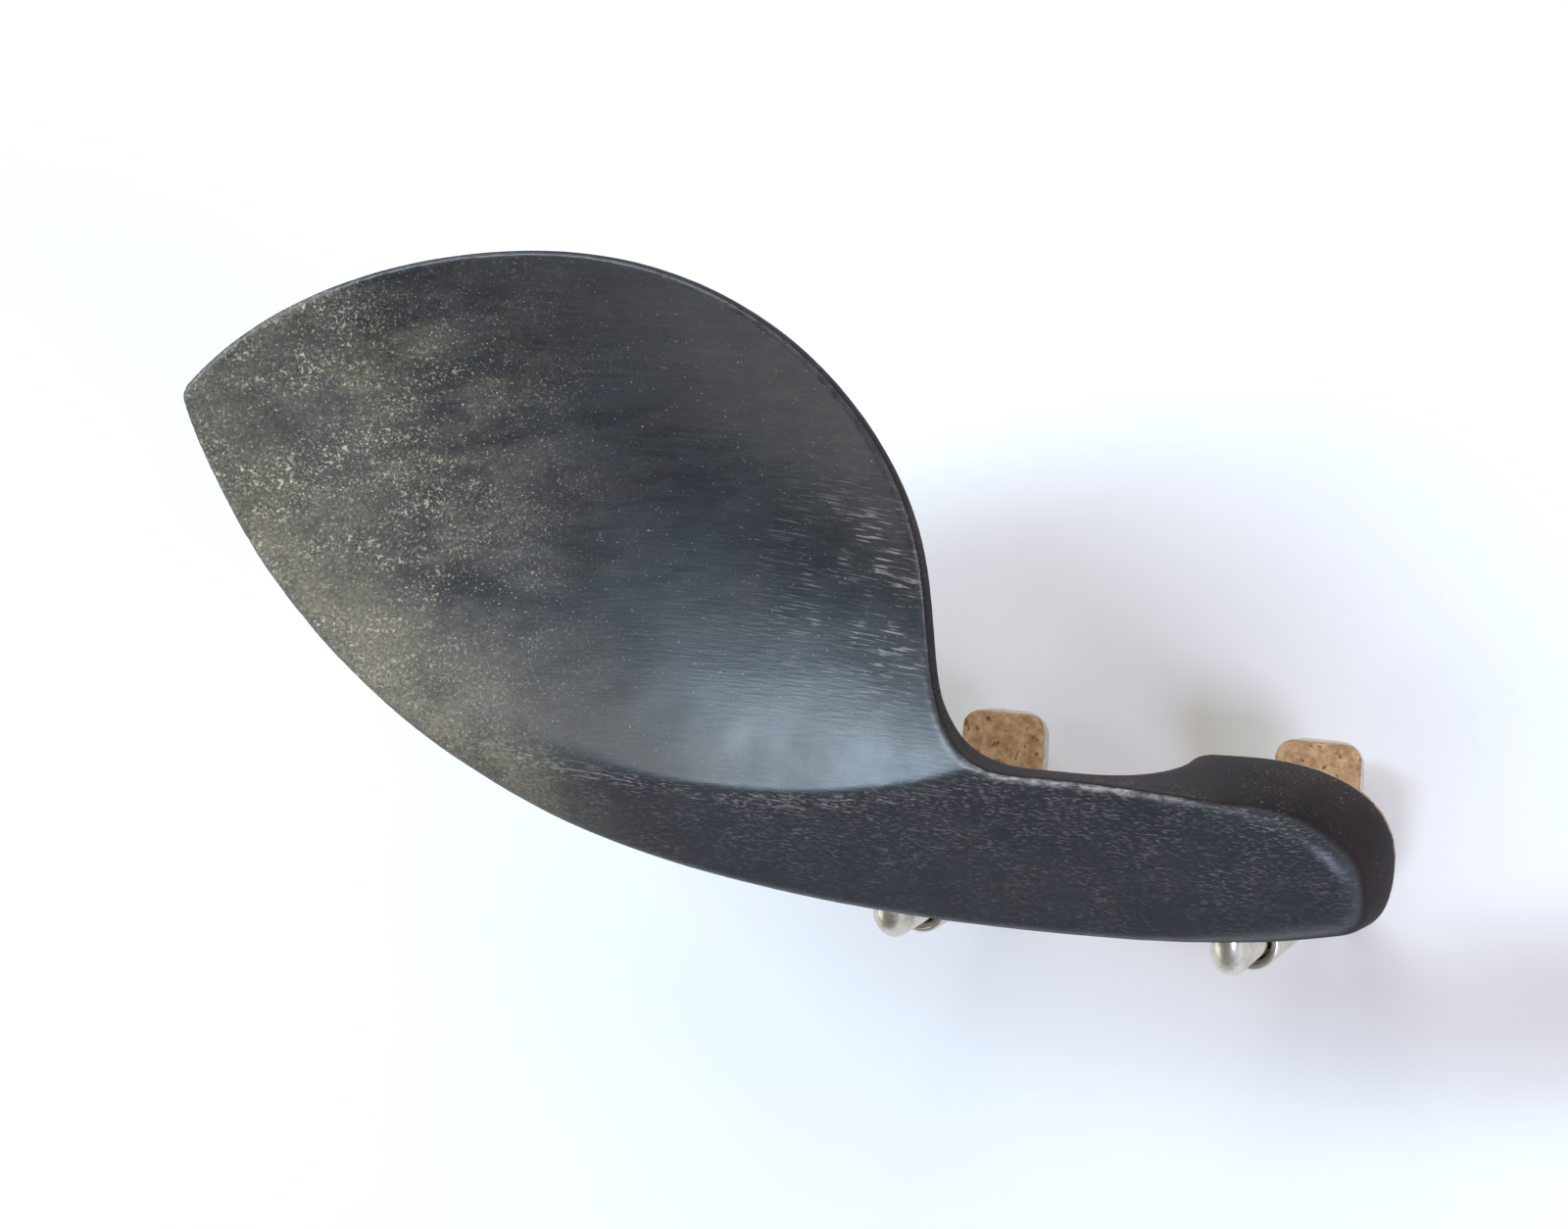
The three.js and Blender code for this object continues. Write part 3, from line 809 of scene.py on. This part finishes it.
def dust_amount(m):
    """Powder caught in clouds towards the tip, in streaks that rise a little to the right."""
    veil = m.noise(1, 8, 0.72, m.stretched((70, 150, 60), DUST_TURN), 0.2)
    tip = m.marked("tip_dust")
    veil = m.math("MULTIPLY", m.ramp(veil, 0.40, 0.68), tip)
    haze = m.math("MULTIPLY", m.ramp(tip, 0.55, 1.0), m.ramp(m.noise(120, 5, 0.6), 0.25, 0.6, 0.15, 0.65))
    skirt = m.math("MULTIPLY", m.marked("skirt_dust"), m.ramp(m.noise(150, 6, 0.7), 0.25, 0.6, 0.2, 1.0))
    veil = m.math("MAXIMUM", m.math("MAXIMUM", veil, haze), m.math("MULTIPLY", skirt, 1.15))
    return m.math("MULTIPLY", veil, m.ramp(m.noise(2600, 3, 0.6), 0.36, 0.66, 0.45, 1.0))


def fleck_amount(m):
    """Pale specks of several sizes, thick in patches towards the tip and scattered elsewhere."""
    patch = m.ramp(m.noise(1, 6, 0.72, m.stretched((90, 160, 80), DUST_TURN)), 0.42, 0.60)
    tip = m.marked("tip_dust")
    patch = m.math("MULTIPLY", patch, tip)
    fine = m.math("MULTIPLY", specks(m, 0.20, 0.52, 0.72), m.math("MULTIPLY", patch, 0.5))
    middle = m.math("MULTIPLY", specks(m, 0.34, 0.58, 0.70), patch)
    large = m.math("MULTIPLY", specks(m, 0.6, 0.60, 0.70), m.math("MULTIPLY", patch, m.ramp(tip, 0.2, 0.8)))
    sparse = m.math("MULTIPLY", specks(m, 0.30, 0.64, 0.72), m.math("MULTIPLY", m.ramp(tip, 0.0, 0.5), 0.7))
    off_face = m.ramp(m.marked("outer_face"), 0.0, 1.0, 0.42, 0.12)
    stray = m.math("MULTIPLY", specks(m, 0.30, 0.69, 0.75), off_face)
    small = m.math("MAXIMUM", fine, m.math("MAXIMUM", sparse, stray))
    return m.math("MAXIMUM", small, m.math("MAXIMUM", middle, large))


def worn_edges(m, colour):
    """A thin pale line along the edges, dustier along the ridge of the arm."""
    broken = m.ramp(m.noise(420, 5, 0.65), 0.25, 0.6)
    edge = m.math("MULTIPLY", m.marked("edge"), broken)
    colour = m.mix(m.math("MULTIPLY", edge, 0.35), colour, COLOURS["worn_edge"])
    grains = m.ramp(m.noise(1, 3, 0.6, m.stretched((900, 2600, 900))), 0.42, 0.58, 0.2, 1.0)
    ridge = m.math("MULTIPLY", m.math("MULTIPLY", edge, m.marked("ridge")), m.math("MULTIPLY", grains, 0.7))
    return m.mix(ridge, colour, COLOURS["ridge_dust"])


def side_painted_reflection_and_lint(m):
    """Painted reflection: the walls and the underside are coloured browner and darker than the top, as a red
    violin top would show in them. They are also duller, with a little real lint.
    """
    tone = m.ramp(m.noise(90, 5, 0.6), 0.3, 0.7)
    colour = m.mix(tone, COLOURS["side_painted_reflection"], COLOURS["side_painted_reflection_cloud"])
    lint = m.math("MULTIPLY", specks(m, 0.3, 0.58, 0.70), m.ramp(m.noise(160, 4, 0.6), 0.42, 0.65))
    return m.mix(m.math("MULTIPLY", lint, 0.6), colour, COLOURS["lint"])


def ebony_material():
    """Ebony under dust and flecks on the top, with a painted sheen on the outer face; plain, duller and with
    a painted brown reflection on the walls and the underside.
    """
    m = Nodes("ebony")
    colour, pores = ebony_colour(m)
    veil, flecks = dust_amount(m), fleck_amount(m)
    colour = m.mix(m.math("MULTIPLY", veil, 0.85), colour, COLOURS["powder"])
    colour = m.mix(m.math("MULTIPLY", flecks, 0.85), colour, COLOURS["fleck"])
    colour = worn_edges(m, colour)
    # Painted reflection: faces turned away from straight up take the browner, darker side colour, whatever
    # light falls on them.
    up = m.split(m.add("ShaderNodeNewGeometry").outputs["Normal"])[2]
    side = m.ramp(up, 0.62, 0.30)
    colour = m.mix(side, colour, side_painted_reflection_and_lint(m))

    rough = m.ramp(m.noise(70, 5, 0.6), 0.3, 0.7, 0.30, 0.40)
    rough = m.math("ADD", rough, m.math("MULTIPLY", m.marked("outer_face"), 0.08))
    rough = m.math("ADD", rough, m.math("MULTIPLY", veil, 0.3))
    rough = m.math("ADD", rough, m.math("MULTIPLY", flecks, 0.3))
    rough = m.math("ADD", rough, m.math("MULTIPLY", side, 0.22))
    m.set(Base_Color=colour, Roughness=rough)
    m.set(Specular_IOR_Level=m.ramp(side, 0.0, 1.0, 0.5, 0.11))
    fine_bump = m.bump(m.noise(1, 3, 0.6, m.stretched((400, 3200, 500))), 0.18, 0.0001)
    m.set(Normal=m.bump(pores, -0.35, 0.00008, fine_bump))
    return m.material


def cork_material():
    m = Nodes("cork")
    tone = m.noise(600, 4, 0.7)
    colour = m.mix(m.ramp(tone, 0.3, 0.7), COLOURS["cork_dark"], COLOURS["cork_pale"])
    dark = m.ramp(m.noise(900, 2, 0.5), 0.60, 0.68)
    colour = m.mix(m.math("MULTIPLY", dark, 0.8), colour, COLOURS["cork_pit"])
    m.set(Base_Color=colour, Roughness=0.92)
    m.set(Normal=m.bump(m.cells(1500), 0.5, 0.00015))
    return m.material


def nickel_material():
    m = Nodes("nickel")
    cloud = m.noise(260, 5, 0.6)
    stain = m.ramp(m.noise(620, 6, 0.7), 0.50, 0.68)
    colour = m.mix(m.ramp(cloud, 0.3, 0.7), COLOURS["nickel_dull"], COLOURS["nickel"])
    colour = m.mix(m.math("MULTIPLY", stain, 0.3), colour, COLOURS["nickel_stain"])
    m.set(Base_Color=colour, Metallic=1.0)
    m.set(Roughness=m.math("ADD", m.ramp(cloud, 0.3, 0.7, 0.26, 0.40), m.math("MULTIPLY", stain, 0.2)))
    m.set(Normal=m.bump(m.noise(1900, 4, 0.6), 0.16, 0.00006))
    return m.material


def screw_material():
    m = Nodes("screw_steel")
    tone = m.noise(1200, 4, 0.6)
    colour = m.mix(m.ramp(tone, 0.35, 0.7), COLOURS["steel_dull"], COLOURS["steel"])
    m.set(Base_Color=colour, Metallic=1.0, Roughness=m.ramp(tone, 0.3, 0.7, 0.28, 0.45))
    m.set(Normal=m.bump(m.noise(3000, 2, 0.5), 0.2, 0.00004))
    return m.material


# ---------------------------------------------------------------- assembly


def stand_for(obj, node, body, material):
    """Puts a finished piece in place of a CAD node, riding on the node's body."""
    obj.data.materials.append(material)
    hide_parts(node)
    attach(obj, body)


def build():
    ebony, cork, nickel, steel = ebony_material(), cork_material(), nickel_material(), screw_material()
    stand_for(chin_plate(), "chin_plate", "rest", ebony)
    for label, side in (("left", -1), ("right", 1)):
        stand_for(cork_pad(f"cork_{label}", side), f"cork_pad_{label}", "rest", cork)
        bracket = upper_bracket(f"bracket_{label}", side)
        stand_for(bracket, f"upper_bracket_{label}", "rest", nickel)
        for place, centre_y in zip(("outer", "inner"), SCREW["y"]):
            screw = wood_screw(f"screw_{label}_{place}", side, centre_y)
            stand_for(screw, f"wood_screw_{label}_{place}", "rest", steel)
        turnbuckle = barrel(f"turnbuckle_{label}", side)
        stand_for(turnbuckle, f"barrel_{label}", f"turnbuckle_{label}", nickel)
        hook = lower_hook(f"hook_{label}", side)
        stand_for(hook, f"lower_hook_{label}", f"hook_{label}", nickel)
        hook_cork = lower_cork(f"hook_cork_{label}", side)
        stand_for(hook_cork, f"lower_cork_{label}", f"hook_{label}", cork)


# ---------------------------------------------------------------- stage


FLOOR = {"half": 1.2, "gap": 0.0002, "fade_from": 0.45, "fade_to": 1.1}  # in metres
AIR = {"colour": (0.97, 0.98, 1.0), "light": 0.27, "seen": 0.86}
WARM_WHITE = (1.0, 0.98, 0.94)

# The camera's place and its aim, in the plan frame's millimetres.
VIEW = {
    "from": (114.7, 92.9, 414.4), "at": (-28.5, 33.0, 14.0),
    "up": (-0.048, 0.9986, -0.021), "lens": 92,
}


def floor():
    """A pale sheet just under the hooks' reach. It fades out far away, and is clear from beneath."""
    low = LOWEST * MM - FLOOR["gap"]
    half = FLOOR["half"]
    corners = [(-half, -half, low), (half, -half, low), (half, half, low), (-half, half, low)]
    mesh = bpy.data.meshes.new("floor")
    mesh.from_pydata(corners, [], [(0, 1, 2, 3)])
    obj = bpy.data.objects.new("floor", mesh)
    bpy.context.scene.collection.objects.link(obj)
    m = Nodes("floor_paper")
    tone = m.ramp(m.noise(6, 4, 0.6), 0.3, 0.7)
    m.set(Base_Color=m.mix(tone, COLOURS["paper_low"], COLOURS["paper_high"]), Roughness=0.9)
    reach = m.add("ShaderNodeVectorMath", operation="LENGTH")
    m.link(m.place, reach.inputs[0])
    clear = m.ramp(reach.outputs["Value"], FLOOR["fade_from"], FLOOR["fade_to"])
    clear = m.math("MAXIMUM", clear, m.add("ShaderNodeNewGeometry").outputs["Backfacing"])
    blend = m.add("ShaderNodeMixShader")
    m.link(clear, blend.inputs[0])
    m.link(m.shader.outputs[0], blend.inputs[1])
    m.link(m.add("ShaderNodeBsdfTransparent").outputs[0], blend.inputs[2])
    m.link(blend.outputs[0], m.tree.nodes["Material Output"].inputs["Surface"])
    mesh.materials.append(m.material)


def area_light(name, towards, distance, size, power, colour, along=(1, 0, 0)):
    """A soft panel at a distance from the plate, in the direction towards. Its long side runs along."""
    aim = (Vector(CAD_BOX[0]) + Vector(CAD_BOX[1])) / 2
    aim.z = 0
    light = bpy.data.lights.new(name, "AREA")
    light.shape = "RECTANGLE"
    light.size, light.size_y = size
    light.energy = power
    light.color = colour
    obj = bpy.data.objects.new(name, light)
    back = Vector(towards).normalized()
    side = Vector(along)
    side = (side - back * side.dot(back)).normalized()
    turn = Matrix((side, back.cross(side), back)).transposed().to_4x4()
    obj.matrix_world = Matrix.Translation(aim + back * distance) @ turn
    bpy.context.scene.collection.objects.link(obj)


def backdrop():
    """Soft light from all round, which the camera sees as a pale backdrop."""
    world = bpy.data.worlds.new("studio")
    world.use_nodes = True
    tree = world.node_tree
    background = tree.nodes["Background"]
    background.inputs["Color"].default_value = (*AIR["colour"], 1)
    strength = tree.nodes.new("ShaderNodeMapRange")
    strength.inputs["To Min"].default_value = AIR["light"]
    strength.inputs["To Max"].default_value = AIR["seen"]
    tree.links.new(tree.nodes.new("ShaderNodeLightPath").outputs["Is Camera Ray"], strength.inputs["Value"])
    tree.links.new(strength.outputs["Result"], background.inputs["Strength"])
    bpy.context.scene.world = world


def lights():
    """A cool window for the dish's sheen, a ceiling, a far window and the light off a wall."""
    area_light(
        "window", (-0.50, 0.33, 0.80), distance=1.1, size=(0.72, 0.17), power=12.0,
        colour=(0.66, 0.83, 1.0), along=(0.82, 0.51, 0.23),
    )
    area_light(
        "ceiling", (-0.02, 0.72, 0.69), distance=1.2, size=(0.8, 0.7), power=6.5,
        colour=WARM_WHITE,
    )
    area_light(
        "far_window", (0.84, -0.24, 0.49), distance=1.2, size=(0.5, 0.3), power=9.0,
        colour=(0.70, 0.72, 1.0), along=(0, 1, 0),
    )
    area_light(
        "wall_bounce", (-0.72, -0.60, 0.40), distance=1.3, size=(0.8, 0.7), power=2.9,
        colour=WARM_WHITE,
    )


def camera():
    """Looks down at the plate's middle from high above the violin's top, a little to the right."""
    cam = bpy.data.cameras.new("camera")
    cam.sensor_width = 36
    cam.lens = VIEW["lens"]
    cam.clip_start = 0.01
    obj = bpy.data.objects.new("camera", cam)
    bpy.context.scene.collection.objects.link(obj)
    place = (np.array(VIEW["from"]) + PLAN_ORIGIN) * MM
    aim = (np.array(VIEW["at"]) + PLAN_ORIGIN) * MM
    back = Vector(place - aim).normalized()
    right = Vector(VIEW["up"]).cross(back).normalized()
    up = back.cross(right)
    obj.matrix_world = Matrix.Translation(place) @ Matrix((right, up, back)).transposed().to_4x4()
    bpy.context.scene.camera = obj


build()
floor()
backdrop()
lights()
camera()
bpy.context.scene.view_settings.view_transform = "Standard"
